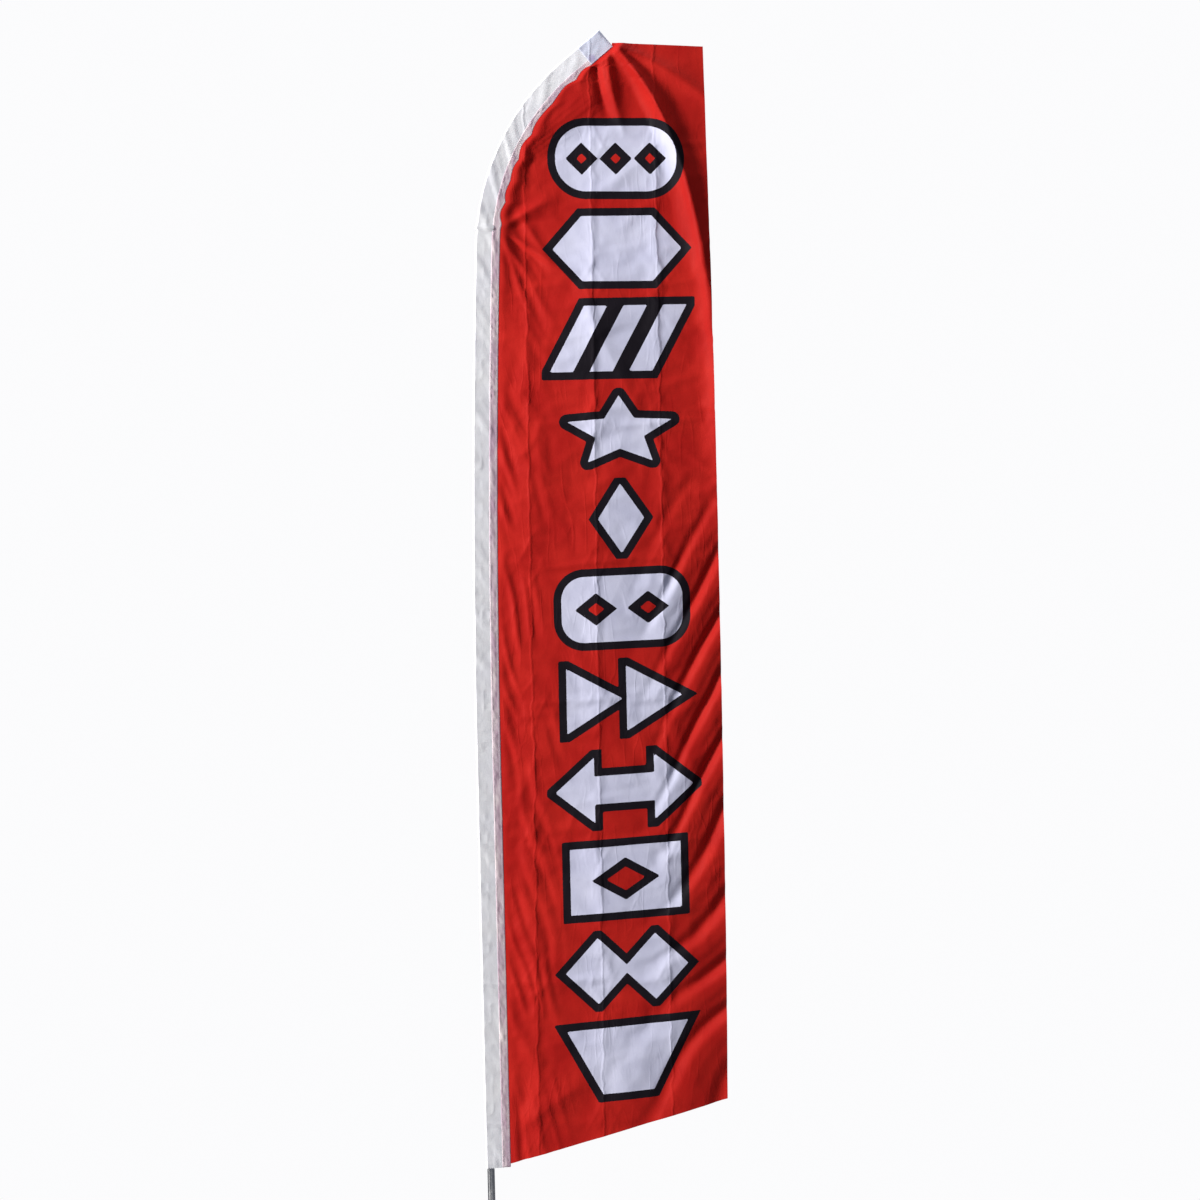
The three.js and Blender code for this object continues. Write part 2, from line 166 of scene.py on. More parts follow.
# Cloth tones as RGB: light, dark and stained
RED = ((0.46, 0.015, 0.010), (0.38, 0.009, 0.007), (0.28, 0.006, 0.006))
BLACK = ((0.008, 0.006, 0.010), (0.005, 0.004, 0.007), (0.014, 0.011, 0.015))
# The print's white is tinted lavender-blue and darkened: a painted bluish shade of skylight, not the ink's own
# colour
PRINT_WHITE_IN_PAINTED_SHADE = ((0.56, 0.57, 0.72), (0.50, 0.51, 0.67), (0.42, 0.43, 0.60))
SLEEVE_WHITE = ((0.88, 0.89, 0.92), (0.82, 0.83, 0.89), (0.67, 0.68, 0.76))
# The pocket's white is darker and bluer than the sleeve's: a painted bluish shade, not a colour of its own cloth
POCKET_WHITE_IN_PAINTED_SHADE = ((0.66, 0.70, 0.84), (0.60, 0.63, 0.78), (0.52, 0.54, 0.68))

# Studio
FLOOR_RADIUS = 2.6
FLOOR_MIDDLE = 0.35
FLOOR_GLOW = 0.40
FLOOR_SIDES = 96
CAMERA_PLACE = (0.378, -12.0, SLEEVE_FOOT + 1.738)
CAMERA_LENS_MM = 117
CAMERA_ROLL = math.radians(1.4)


# -------- shared shapes

def smooth(value, low, high):
    t = np.clip((value - low) / (high - low), 0, 1)
    return t * t * (3 - 2 * t)


def between(start, end, part):
    return start + (end - start) * part


def centreline(along):
    """Where the pole's centreline is (x, z), and how far it leans, at distances along it."""
    bow = np.clip(along - STRAIGHT_END, 0, BOW_RADIUS * BOW_ANGLE) / BOW_RADIUS
    lean = bow + np.clip(along - CROOK_START, 0, CROOK_RADIUS * CROOK_ANGLE) / CROOK_RADIUS
    tip = np.clip(along - CROOK_END, 0, None)
    x = BOW_RADIUS * (1 - np.cos(bow)) + CROOK_RADIUS * (np.cos(bow) - np.cos(lean))
    z = np.minimum(along, STRAIGHT_END) + BOW_RADIUS * np.sin(bow)
    z = z + CROOK_RADIUS * (np.sin(lean) - np.sin(bow))
    return x + tip * np.sin(lean), z + tip * np.cos(lean), lean


def beside(along, offset):
    """Points in the flag's plane, offset square to the pole, towards the flag."""
    x, z, lean = centreline(along)
    return x + offset * np.cos(lean), z - offset * np.sin(lean)


def seam_offset(along):
    """How far from the pole's axis the red cloth starts. In the crook the seam is gathered."""
    part = np.clip((along - CROOK_START) / (SLEEVE_END - CROOK_START), 0, 1)
    offset = between(SEAM_OFFSET, SEAM_OFFSET_AT_TIP, part)
    gathered = smooth(along, KINK, KINK + 0.05) * (1 - smooth(along, POCKET_START - 0.02, POCKET_START))
    wave = np.abs(np.sin(np.pi * (along - KINK) / SCALLOP_PITCH + 0.9 * np.sin(11 * along)))
    depth = SCALLOP_DEPTH * (0.75 + 0.35 * np.sin(23 * along))
    return offset + gathered * depth * (0.4 - wave)


SEAM_SAMPLES = np.linspace(SLEEVE_FOOT - 0.02, SLEEVE_END + 0.01, 1600)
SEAM_X, SEAM_Z = beside(SEAM_SAMPLES, seam_offset(SEAM_SAMPLES))


def seam_x(z):
    return np.interp(z, SEAM_Z, SEAM_X)


def fly_x(z):
    t = (z - FLY_FOOT) / (PANEL_TOP - FLY_FOOT)
    return between(FLY_X_FOOT, FLY_X_HEAD, t) + 4 * FLY_BULGE * t * (1 - t)


def noise(x, y, seed):
    """Smooth value noise between -1 and 1, the same on every run."""
    table = np.random.default_rng(seed).uniform(-1, 1, (64, 64))
    xi = np.floor(x).astype(int)
    yi = np.floor(y).astype(int)
    fx, fy = [f * f * f * (f * (f * 6 - 15) + 10) for f in (x - xi, y - yi)]
    a = table[xi % 64, yi % 64] * (1 - fx) + table[(xi + 1) % 64, yi % 64] * fx
    b = table[xi % 64, (yi + 1) % 64] * (1 - fx) + table[(xi + 1) % 64, (yi + 1) % 64] * fx
    return a * (1 - fy) + b * fy


# -------- folds of the flag

def from_segment(x, y, start, end):
    """Distance to a straight segment, the share of the way along it, and a value that is positive
    on its left."""
    dx = end[0] - start[0]
    dy = end[1] - start[1]
    along = np.clip(((x - start[0]) * dx + (y - start[1]) * dy) / (dx * dx + dy * dy), 0, 1)
    rx = x - start[0] - along * dx
    ry = y - start[1] - along * dy
    return np.hypot(rx, ry), along, ry * dx - rx * dy


def near_curve(x, h, points, pieces=16):
    """Distance to a chain of curves, and the part of the way along it where the nearest place is.
    Each curve runs between two points and bends towards the one between them. Distances are
    negative on the right when walking along the chain."""
    chain = [np.array(points[0])]
    for start, middle, end in zip(points[:-2:2], points[1:-1:2], points[2::2]):
        for t in np.linspace(0, 1, pieces + 1)[1:]:
            bent = 2 * t * (1 - t) * np.array(middle)
            chain.append((1 - t) ** 2 * np.array(start) + bent + t * t * np.array(end))
    best = np.inf
    side = part = 0
    for i, (start, end) in enumerate(zip(chain, chain[1:])):
        distance, along, turn = from_segment(x, h, start, end)
        closer = distance < best
        best = np.where(closer, distance, best)
        side = np.where(closer, turn, side)
        part = np.where(closer, (i + along) / (len(chain) - 1), part)
    return best * np.sign(side), part


def fold(x, h, points, rise, widths, spread=(0.06, 0.35), lean=1.0):
    """A ridge of the given rise along a chain of curves. Its width grows from the first to the
    second of widths, and it fades in and out over the shares of its length in spread. Below 1,
    lean makes its right flank the steeper one, and above 1 its left flank."""
    distance, part = near_curve(x, h, points)
    width = between(*widths, part) * np.where(distance < 0, lean, 1 / lean)
    fade = smooth(part, 0, spread[0]) * (1 - smooth(part, 1 - spread[1], 1))
    soft = np.sqrt((distance / width) ** 2 + 0.12) - 0.346
    return rise * fade * np.exp(-soft * 1.7)


def corner_folds(x, h):
    """The cloth hangs from the pocket's corner, and that pulls ridges out of it."""
    behind, part = near_curve(x, h, LONG_RIDGE)
    step = -16 * smooth(-behind, 0, 30 + 110 * part)
    total = step * smooth(part, 0.02, 0.15) * (1 - smooth(part, 0.35, 0.6))
    for points, rise, widths, spread, lean in [
        (LONG_RIDGE, 30, (15, 58), (0.02, 0.4), 0.8),
        ([POCKET_CORNER, (600, 3400), (900, 3150)], 17, (14, 50), (0.05, 0.1), 0.8),
        ([(441, 3424), (440, 3310), (500, 3130)], 14, (13, 23), (0.1, 0.5), 0.8),
        ([(425, 3410), (425, 3330), (470, 3190)], 7, (9, 15), (0.1, 0.5), 0.8),
        ([(404, 3396), (410, 3300), (452, 3190)], -12, (13, 22), (0.1, 0.5), 1.0),
        ([(392, 3392), (330, 3330), (372, 3300)], 7, (9, 20), (0.1, 0.6), 1.0),
    ]:
        total = total + fold(x, h, points, rise, widths, spread, lean)
    return total


def kink_folds(x, h):
    """Wrinkles that fan out of the kink in the sleeve: each one's end, rise and width there."""
    total = 0
    fan = [
        ((300, 2992), 13, 32),
        ((275, 2915), -7, 24),
        ((375, 2688), 11, 34),
        ((262, 2735), -7, 18),
        ((190, 2590), 9, 17),
        ((140, 2640), -5, 12),
        ((180, 3150), 12, 34),
    ]
    for end, rise, width in fan:
        middle = [(a + b) / 2 for a, b in zip(KINK_CORNER, end)]
        middle[1] += 12
        total = total + fold(x, h, [KINK_CORNER, middle, end], rise, (8, width), (0.1, 0.6))
    return total


def fly_folds(x, h):
    """Slanting folds along the lower part of the fly edge, flatter towards the foot."""
    slope = 1.0 + 0.9 * smooth(h, 350, 1500)
    pitch = 212 + 14 * noise(h / 400, h * 0, 5)
    bend = 40 * noise(x / 240, h / 300, 6)
    phase = 2 * np.pi * (h - slope * (x - 740) - 1690 + bend) / pitch
    reach = 400 - 320 * (1 - smooth(h, 60, 620))
    inside = smooth(x, reach, 740) ** 1.5
    band = smooth(h, -50, 200) * (1 - smooth(h, 1700, 2150))
    wave = np.cos(phase) + 0.35 * np.cos(2 * phase + 0.8) + 0.12 * np.cos(3 * phase + 1.2)
    foot = fold(x, h, [(70, 85), (220, 235), (360, 285)], 9, (30, 46), (0.3, 0.5), 0.8)
    return -8.4 * inside * band * wave + foot


def seam_wrinkles(x, h):
    """Wrinkles that run down and away from the straight seam, steeper the lower they are."""
    lean = 1.6 + 2.2 * (1 - smooth(h, 1200, 2700))
    slant = h + lean * (x - 60) + 75 * noise(x / 110, h / 260, 11)
    wave = np.abs(np.sin(np.pi * slant / 156)) + 0.4 * np.abs(np.sin(np.pi * slant / 83 + 1.3)) - 0.9
    size = smooth(x, 60, 90) * (1 - smooth(x, 140, 290)) * smooth(noise(x / 80, h / 190, 12), -0.7, 0.7)
    return -(5.2 + 4.5 * smooth(h, 1700, 2300)) * size * wave * (1 - smooth(h, 2830, 3000))


def packing_creases(x, h):
    """The flag was packed folded: three long creases, with small stars where the cross folds met."""
    total = 0
    levels = [(z - SLEEVE_FOOT) / MM for z in CROSS_FOLDS]
    star = sum(np.exp(-((h - level) / 80) ** 2) for level in levels)
    for number, (foot, head) in enumerate(LONG_CREASES):
        line = between(foot, head, h / POCKET_CORNER[1]) / MM
        wiggle = 6 * noise(h / 110, h * 0 + number, 21) + 8 * star * noise(h / 26, h * 0 + number, 22)
        away = x - line - wiggle
        strength = 0.7 + 0.4 * noise(h / 300, h * 0 + number, 23)
        sharp = np.exp(-np.abs(away) / np.where(away > 0, 7, 14))
        broad = np.exp(-(away / np.where(away > 0, 120, 52)) ** 2)
        total = total + strength * (3.4 * sharp + (10 - 2.5 * number) * broad)
        for way in (-1, 1):
            slant = (x - line) * 2.1 * way + h + 20 * noise(x / 50, h / 90, 24 + number)
            branch = np.abs(((slant / 143) % 1) - 0.5) * 143
            near = np.exp(-(away / 40) ** 2) * (0.15 + star)
            total = total + 2.3 * near * np.exp(-branch / 7)
    for row, level in enumerate(levels):
        line = level + 10 * noise(x / 120, x * 0 + row, 27)
        total = total + 1.2 * np.exp(-np.abs(h - line) / 6)
    return total


def crinkles(x, h):
    """Shallow crumpling all over, in short straight ridges."""
    total = 0
    angle_size_height = [(64, 88, 3.4), (-66, 104, 3.2), (80, 58, 1.8), (35, 120, 2.2), (12, 50, 0.8)]
    for number, (angle, size, height) in enumerate(angle_size_height):
        c = math.cos(math.radians(angle))
        s = math.sin(math.radians(angle))
        ridge = np.abs(noise((h * c - x * s) / size, (x * c + h * s) / (3.0 * size), 31 + number))
        patch = smooth(noise(x / 190, h / 260, 41 + number), -0.5, 0.5)
        total = total + height * patch * (0.5 - np.sqrt(ridge ** 2 + 0.002))
    return total


def fold_height(x, z):
    """How far the cloth stands out of the flag's plane towards the front, in metres."""
    h = (z - SLEEVE_FOOT) / MM
    across = (x - seam_x(z)) / MM
    mm = x / MM
    crook = smooth(h, 2900, 3250)
    held = smooth(across, 2, 70 - 42 * crook)
    slack = smooth(across, 1, 22)
    roll = (1.6 + 1.2 * smooth(h, 2880, 2960)) * smooth(across, -1, 7) * np.exp(-((across - 14) / 18) ** 2)
    big = corner_folds(mm, h) + kink_folds(mm, h) + fly_folds(mm, h)
    small = seam_wrinkles(mm, h) + packing_creases(mm, h) + crinkles(mm, h)
    sway = 6 * np.sin(2 * np.pi * h / 2300 + 0.4) * smooth(across, 0, 600)
    curve = 7 * smooth(across, 30, 330) * (1 - smooth(across, 330, 700))
    return MM * (held * (big + sway + curve) + slack * small + roll)


# -------- print outlines

def convex(points, x, z):
    """Signed distance to a convex polygon, with square corners kept when it is offset. Points go
    anticlockwise."""
    result = -np.inf
    for (ax, az), (bx, bz) in zip(points, points[1:] + points[:1]):
        length = math.hypot(bx - ax, bz - az)
        result = np.maximum(result, ((x - ax) * (bz - az) - (z - az) * (bx - ax)) / length)
    return result


def diamond(width, height, x, z):
    return convex([(width / 2, 0), (0, height / 2), (-width / 2, 0), (0, -height / 2)], x, z)


def box(width, height, x, z):
    return np.maximum(np.abs(x) - width / 2, np.abs(z) - height / 2)


def star(x, z):
    """Five long rays. Its distance is exact, so that its outline has rounded points."""
    points = []
    for i in range(10):
        radius = 0.113 if i % 2 == 0 else 0.052
        angle = math.pi / 2 + math.pi * i / 5
        points.append((1.5 * radius * math.cos(angle), radius * math.sin(angle) - 0.011))
    best = np.inf
    inside = False
    for (ax, az), (bx, bz) in zip(points, points[1:] + points[:1]):
        best = np.minimum(best, from_segment(x, z, (ax, az), (bx, bz))[0])
        crosses = (az > z) != (bz > z)
        reach = ax + (z - az) * (bx - ax) / (bz - az or 1)
        inside = inside ^ (crosses & (x < reach))
    return np.where(inside, -best, best)


def slanted_bars(x, z):
    top = PRINT_HALF_HEIGHT
    bar = [(-0.019, -top), (0.091, top), (0.019, top), (-0.091, -top)]
    return np.minimum.reduce([convex(bar, x - middle, z) for middle in (-0.122, 0, 0.122)])


def hexagon(x, z):
    top = PRINT_HALF_HEIGHT
    points = [(0.198, 0), (0.108, top), (-0.108, top), (-0.198, 0), (-0.108, -top), (0.108, -top)]
    return convex(points, x, z)


def twin_triangles(x, z):
    triangle = [(0.09, 0), (-0.082, PRINT_HALF_HEIGHT), (-0.082, -PRINT_HALF_HEIGHT)]
    return np.minimum(convex(triangle, x - 0.092, z), convex(triangle, x + 0.092, z))


def double_arrow(x, z):
    head = [(0.092, -PRINT_HALF_HEIGHT), (0.212, 0), (0.092, PRINT_HALF_HEIGHT)]
    return np.minimum(box(0.26, 0.086, x, z), convex(head, np.abs(x), z))


def rounded_bar(corner, hole_width, holes, x, z):
    """A bar with rounded corners and a row of diamond holes."""
    qx = np.abs(x) - 0.186 + corner
    qz = np.abs(z) - PRINT_HALF_HEIGHT + corner
    outside = np.hypot(np.maximum(qx, 0), np.maximum(qz, 0))
    result = outside + np.minimum(np.maximum(qx, qz), 0) - corner
    for place in holes:
        result = np.maximum(result, -diamond(hole_width, 0.1, x - place, z))
    return result


def framed_diamond(x, z):
    return np.maximum(box(0.34, 2 * PRINT_HALF_HEIGHT, x, z), -diamond(0.21, 0.13, x, z))


def twin_diamonds(x, z):
    return np.minimum(diamond(0.2, 0.204, x + 0.088, z), diamond(0.2, 0.204, x - 0.088, z))


def tub(x, z):
    top = PRINT_HALF_HEIGHT
    return convex([(0.078, -top), (0.186, top), (-0.186, top), (-0.078, -top)], x, z)


# The white part of each printed shape, from the top of the flag down
PRINT_SHAPES = [
    lambda x, z: rounded_bar(0.096, 0.1, (-0.105, 0, 0.105), x, z),
    hexagon,
    slanted_bars,
    star,
    lambda x, z: diamond(0.142, 0.214, x, z),
    lambda x, z: rounded_bar(0.07, 0.13, (-0.08, 0.08), x, z),
    twin_triangles,
    double_arrow,
    framed_diamond,
    twin_diamonds,
    tub,
]


def print_distances(x, z):
    """Signed distances to the white shapes and to their black outlines, whose sharp points are
    cut off level. The rows tilt as the cloth's weft does."""
    white = black = np.inf
    for number, shape in enumerate(PRINT_SHAPES):
        part = number / (len(PRINT_SHAPES) - 1)
        dx = x - between(PRINT_X_HEAD, PRINT_X_FOOT, part)
        tilt = between(PRINT_TILT_HEAD, PRINT_TILT_FOOT, part)
        dz = z - (PRINT_TOP - PRINT_PITCH * number) - math.tan(tilt) * dx
        distance = shape(dx, dz)
        white = np.minimum(white, distance)
        cut = np.maximum(np.abs(dz) - PRINT_HALF_HEIGHT - PRINT_OUTLINE, np.abs(dx) - PRINT_REACH)
        black = np.minimum(black, np.maximum(distance - PRINT_OUTLINE, cut))
    return white, black


# -------- flag cloth

def panel_top(u):
    """The top edge falls a little towards the fly."""
    return PANEL_TOP + between(PANEL_TOP_RISE, -PANEL_TOP_FALL, u)


def panel_foot(u):
    return between(HOIST_FOOT, FLY_FOOT, u)


def panel_place(u, v):
    """Flat place (x, z) of the panel's cloth: u runs from seam to fly, v from foot to top."""
    z = between(panel_foot(u), panel_top(u), v)
    return between(seam_x(z) - TUCK, fly_x(z), u), z


def cloth_grid(columns, rows):
    """Places (u, v) of a grid of cells, and two triangles to each cell. Their shared edge runs the
    way the folds run: up towards the fly in the lower part, and down towards it in the upper."""
    u, v = np.meshgrid(np.linspace(0, 1, columns + 1), np.linspace(0, 1, rows + 1))
    corner = np.arange(rows * (columns + 1)).reshape(rows, columns + 1)[:, :-1]
    turn = int(FOLDS_TURN * (rows + 1))
    a = corner[:turn].ravel()
    b = corner[turn:].ravel()
    up = columns + 1
    return np.stack([u.ravel(), v.ravel()], 1), np.concatenate([
        np.stack([a, a + 1, a + up + 1], 1),
        np.stack([a, a + up + 1, a + up], 1),
        np.stack([b, b + 1, b + up], 1),
        np.stack([b + 1, b + up + 1, b + up], 1),
    ])


def split(uv, triangles, value):
    """Cuts triangles where value is 0, never right at a corner, and returns the points, the
    triangles with value below 0 and those above."""
    value = np.where(np.abs(value) < LEAST_CUT, np.copysign(LEAST_CUT, value), value)
    below = value < 0
    kind = below[triangles].sum(1)
    crossing = triangles[(kind == 1) | (kind == 2)]
    lone = (below[crossing].sum(1) == 1)[:, None] == below[crossing]
    first = lone.argmax(1)
    rows = np.arange(len(crossing))
    a, b, c = [crossing[rows, (first + k) % 3] for k in range(3)]
    edges = np.sort(np.concatenate([np.stack([a, b], 1), np.stack([a, c], 1)]), axis=1)
    unique, where = np.unique(edges, axis=0, return_inverse=True)
    share = value[unique[:, 0]] / (value[unique[:, 0]] - value[unique[:, 1]])
    added = uv[unique[:, 0]] + share[:, None] * (uv[unique[:, 1]] - uv[unique[:, 0]])
    ab = len(uv) + where.ravel()[: len(a)]
    ac = len(uv) + where.ravel()[len(a):]
    tip = np.stack([a, ab, ac], 1)
    rest = np.concatenate([np.stack([ab, b, c], 1), np.stack([ab, c, ac], 1)])
    tip_below = below[a]
    rest_below = np.tile(~tip_below, 2)
    inside = np.concatenate([triangles[kind == 3], tip[tip_below], rest[rest_below]])
    outside = np.concatenate([triangles[kind == 0], tip[~tip_below], rest[~rest_below]])
    return np.concatenate([uv, added]), inside, outside


def flat(uv):
    """The flat cloth's place in space at grid places uv."""
    x, z = panel_place(*uv.T)
    return np.stack([x, 0 * x, z], 1)


def folded(uv):
    x, z = panel_place(*uv.T)
    return np.stack([x, -fold_height(x, z), z], 1)


def spline_weights(t):
    """Weights of four neighbours in a cubic B-spline."""
    return [
        (1 - t) ** 3 / 6,
        (3 * t ** 3 - 6 * t ** 2 + 4) / 6,
        (1 + 3 * t + 3 * t ** 2 - 3 * t ** 3) / 6,
        t ** 3 / 6,
    ]


def sampled(grid, uv):
    """Smooth values of a grid at places uv."""
    rows, columns, _ = grid.shape
    across, up = np.clip(uv, 0, 1).T * [[columns - 1], [rows - 1]]
    i = np.minimum(across.astype(int), columns - 2)
    j = np.minimum(up.astype(int), rows - 2)
    total = 0
    for q, weight_up in enumerate(spline_weights(up - j)):
        row = np.clip(j + q - 1, 0, rows - 1)
        for p, weight_across in enumerate(spline_weights(across - i)):
            column = np.clip(i + p - 1, 0, columns - 1)
            total = total + (weight_up * weight_across)[:, None] * grid[row, column]
    return total


def cloth_point(uv, shifts):
    """The settled cloth's place at uv. shifts says how far from flat each grid point is."""
    return flat(uv) + sampled(shifts, uv)


def cloth_normal(uv, shifts):
    """Unit normals towards the front."""
    step = 1e-3
    du = cloth_point(uv + [step, 0], shifts) - cloth_point(uv - [step, 0], shifts)
    dv = cloth_point(uv + [0, step / 5], shifts) - cloth_point(uv - [0, step / 5], shifts)
    normal = np.cross(du, dv)
    return normal / np.linalg.norm(normal, axis=1)[:, None]


def boundary_edges(triangles):
    """Edges used by only one triangle, in that triangle's own direction."""
    edges = np.concatenate([triangles[:, [0, 1]], triangles[:, [1, 2]], triangles[:, [2, 0]]])
    order = np.sort(edges, axis=1)
    _, index, count = np.unique(order, axis=0, return_index=True, return_counts=True)
    return edges[index[count == 1]]


def add_object(name, data):
    thing = bpy.data.objects.new(name, data)
    bpy.context.scene.collection.objects.link(thing)
    return thing


def mesh_object(name, vertices, faces):
    """A smooth-shaded mesh."""
    mesh = bpy.data.meshes.new(name)
    mesh.from_pydata(vertices.tolist(), [], faces)
    mesh.polygons.foreach_set("use_smooth", [True] * len(mesh.polygons))
    return add_object(name, mesh)


def cloth_shell(name, triangles, points, normals, half_thickness):
    """A closed thin piece of cloth from the chosen triangles of the panel, with a crisp rim."""
    used, local = np.unique(triangles, return_inverse=True)
    local = local.reshape(-1, 3)
    count = len(used)
    offset = normals[used] * half_thickness[used][:, None]
    vertices = np.concatenate([points[used] + offset, points[used] - offset])
    rim = boundary_edges(local)
    walls = np.stack([rim[:, 1], rim[:, 0], rim[:, 0] + count, rim[:, 1] + count], 1)
    faces = local.tolist() + (local[:, ::-1] + count).tolist() + walls.tolist()
    shell = mesh_object(name, vertices, faces)
    edge_of_corner = np.zeros(len(shell.data.loops), int)
    shell.data.loops.foreach_get("edge_index", edge_of_corner)
    sharp = np.zeros(len(shell.data.edges), bool)
    sharp[edge_of_corner[-walls.size:]] = True
    shell.data.attributes.new("sharp_edge", "BOOLEAN", "EDGE").data.foreach_set("value", sharp)
    return shell


def settle_cloth():
    """Lets a coarse copy of the panel settle as simulated cloth. It is sewn to the sleeve at its
    hoist side, drawn softly towards its folds elsewhere, and cut slightly full so that it puckers.
    Returns how far each point of the coarse grid moves."""
    uv, triangles = cloth_grid(SETTLE_COLUMNS, SETTLE_ROWS)
    start = folded(uv)
    sheet = mesh_object("settling_cloth", start, triangles.tolist())
    held = sheet.vertex_groups.new(name="held")
    weights = SETTLE_HOLD + (1 - SETTLE_HOLD) * (1 - smooth(uv[:, 0], 0, 0.06))
    for i, weight in enumerate(weights.tolist()):
        held.add([i], weight, "REPLACE")
    cloth = sheet.modifiers.new("cloth", "CLOTH")
    for setting, value in SETTLE_CLOTH.items():
        setattr(cloth.settings, setting, value)
    cloth.settings.effector_weights.gravity = SETTLE_GRAVITY
    cloth.settings.vertex_group_mass = "held"
    cloth.point_cache.frame_end = SETTLE_FRAMES
    scene = bpy.context.scene
    for number in range(1, SETTLE_FRAMES + 1):
        scene.frame_set(number)
    settled = sheet.evaluated_get(bpy.context.evaluated_depsgraph_get())
    places = np.zeros(3 * len(start))
    settled.data.vertices.foreach_get("co", places)
    moved = places.reshape(-1, 3) - start
    scene.frame_set(1)
    bpy.data.meshes.remove(sheet.data)
    return moved.reshape(SETTLE_ROWS + 1, SETTLE_COLUMNS + 1, 3)


def cloth_shifts(uv):
    """How far from flat each point of the fine grid is: its folds, and then its settling."""
    shifts = folded(uv) - flat(uv)
    shifts = shifts + sampled(settle_cloth(), uv) * smooth(uv[:, :1], 0.01, 0.06)
    return shifts.reshape(ROWS + 1, COLUMNS + 1, 3)


def build_flag():
    """The panel's sheet in three pieces, cut along the outlines of the print."""
    uv, triangles = cloth_grid(COLUMNS, ROWS)
    shifts = cloth_shifts(uv)
    uv, printed, red = split(uv, triangles, print_distances(*panel_place(*uv.T))[1])
    uv, white, black = split(uv, printed, print_distances(*panel_place(*uv.T))[0])
    points = cloth_point(uv, shifts)
    normals = cloth_normal(uv, shifts)
    x, z = panel_place(*uv.T)
    u = uv[:, 0]
    to_edge = np.minimum.reduce([fly_x(z) - x, panel_top(u) - z, z - panel_foot(u)])
    hem = 1 - smooth(to_edge, HEM_WIDTH, HEM_WIDTH + 0.002)
    half = between(CLOTH_THICKNESS, HEM_THICKNESS, hem) / 2
    names = {"flag_cloth_red": red, "flag_print_black": black, "flag_print_white": white}
    return {name: cloth_shell(name, tris, points, normals, half) for name, tris in names.items()}


# -------- sleeve

def lofted(name, rings, close_ends):
    """A closed tube through rings of equal size, each an array of points."""
    count = len(rings[0])
    vertices = np.concatenate(rings)
    last = len(vertices) - count
    faces = []
    for low in range(0, last, count):
        for k in range(count):
            n = (k + 1) % count
            faces.append((low + k, low + n, low + count + n, low + count + k))
    if close_ends:
        faces.append(tuple(range(count))[::-1])
        faces.append(tuple(range(last, last + count)))
    return mesh_object(name, vertices, faces)


def sleeve_depth(along):
    """Half the sleeve's depth over the pole: full over the tubes, flatter towards the tip."""
    over_whip = smooth(along, TUBE_END, TUBE_END + 0.16)
    at_tip = smooth(along, CROOK_START, SLEEVE_END)
    depth = between(SLEEVE_DEPTH, SLEEVE_DEPTH_OVER_WHIP, over_whip)
    return depth + (SLEEVE_DEPTH_AT_TIP - SLEEVE_DEPTH_OVER_WHIP) * at_tip


def sleeve_half(along, offset):
    """Half the sleeve's depth at an offset from the pole's axis: a round left edge, then straight
    flanks that pass over the pole and close in towards the seam."""
    depth = sleeve_depth(along)
    left = np.clip((SLEEVE_CREST - offset) / (SLEEVE_LEFT + SLEEVE_CREST), 0, 1)
    flank = np.clip((offset - SLEEVE_CREST) / (seam_offset(along) - SLEEVE_CREST), 0, 1)
    closing = (1 - left ** 2.4) ** (1 / 2.4)
    return np.where(offset < SLEEVE_CREST, depth * closing, between(depth, SLEEVE_EDGE, flank))


def before_pocket(along):
    """1 along the sleeve, falling to 0 where the pocket starts."""
    return 1 - smooth(along, POCKET_START - 0.03, POCKET_START - 0.004)


def soft_folds(along, offset, seed):
    """Slanting folds pulled into the sleeve's cloth, and its packing creases, in metres."""
    s = along / MM
    o = offset / MM
    slant = s + 1.5 * o + 26 * noise(s / 150, o / 60, seed)
    size = 0.45 + 0.55 * noise(s / 230, o / 90, seed + 1)
    crook = smooth(along, KINK - 0.1, KINK + 0.1)
    wave = np.sin(2 * np.pi * slant / 148) + 0.55 * np.sin(2 * np.pi * slant / 67 + 2)
    small = 0.9 * (0.5 - np.abs(noise(s / 31, o / 24, seed + 2)))
    crease = sum(np.exp(-np.abs(along - level + 0.1 * offset) / 0.004) for level in CROSS_FOLDS)
    return MM * before_pocket(along) * (wave * size * (0.9 + 0.7 * crook) + small + 1.1 * crease)


def kink_step(along):
    """The cloth breaks at the kink: a deep crease, and above it an overhanging lip."""
    lip = 0.003 * math.exp(-((along - KINK - 0.012) / 0.008) ** 2)
    crease = 0.0034 * math.exp(-((along - KINK) / 0.005) ** 2)
    return lip - crease


def sleeve_front(along, offset, extra=0.0, seed=51):
    """Depth of the sleeve's front at offsets from the axis, kept clear of the pole inside."""
    half = sleeve_half(along, offset)
    ease = smooth(half, 0.001, 0.006)
    moved = half + (soft_folds(along, offset, seed) + kink_step(along)) * ease
    return np.maximum(moved, half - FOLD_DIP) + extra


def ring_around(along, offset, front, back):
    """A closed ring of points from depths in front of and behind the flag's plane."""
    x, z = beside(along, offset)
    near = np.stack([x, -front, z], 1)
    far = np.stack([x, back, z], 1)[1:-1][::-1]
    return np.concatenate([near, far])


def spaced(left, right, count):
    """Offsets from left to right, closer together near the left edge."""
    t = np.linspace(0, 1, count)
    return left + (right - left) * (1 - np.cos(np.pi * t / 2)) ** 1.15


